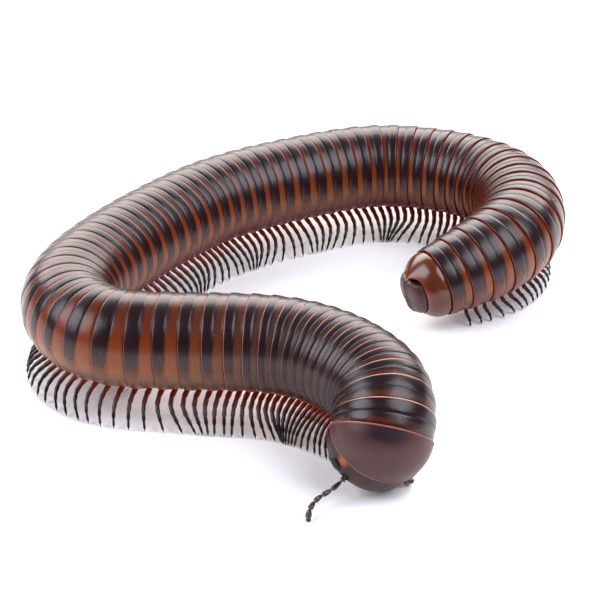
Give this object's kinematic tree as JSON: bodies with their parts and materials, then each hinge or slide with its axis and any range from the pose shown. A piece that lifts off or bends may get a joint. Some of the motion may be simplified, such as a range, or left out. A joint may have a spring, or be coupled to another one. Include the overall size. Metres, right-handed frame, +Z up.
{
  "type": "millipede model",
  "caption": "Life-size still model of a giant round-backed millipede walking in an open curl, head bent to the ground, on its many short legs.",
  "frame": {"origin": "centre of the footprint's bounding box, on the floor that the feet stand on", "axes": "+Z up; the head end faces -Y at the front, the body curls back towards +Y, and the tail ends inside the curl on the +X side"},
  "size_m": [0.0826, 0.096, 0.0186],
  "materials": {
    "cuticle": "glossy chestnut cuticle with dark and amber bands",
    "head_shell": "glossy plum-brown cuticle",
    "eye_black": "glossy black",
    "feeler": "satin blackish brown",
    "tail_shell": "glossy amber-brown cuticle"
  },
  "bodies": {
    "root": {"trunk_01": "cuticle", "trunk_02": "cuticle", "trunk_03": "cuticle", "trunk_04": "cuticle", "trunk_05": "cuticle", "trunk_06": "cuticle", "trunk_07": "cuticle", "trunk_08": "cuticle", "trunk_09": "cuticle", "trunk_10": "cuticle", "trunk_11": "cuticle", "trunk_12": "cuticle", "trunk_13": "cuticle", "trunk_14": "cuticle", "collum": "head_shell", "head": "head_shell", "eye_left": "eye_black", "eye_right": "eye_black", "antenna_left": "feeler", "antenna_right": "feeler", "jaw_left": "feeler", "jaw_right": "feeler", "lower_lip": "feeler", "telson": "tail_shell", "anal_valve_left": "head_shell", "anal_valve_right": "head_shell"}
  },
  "joints": []
}
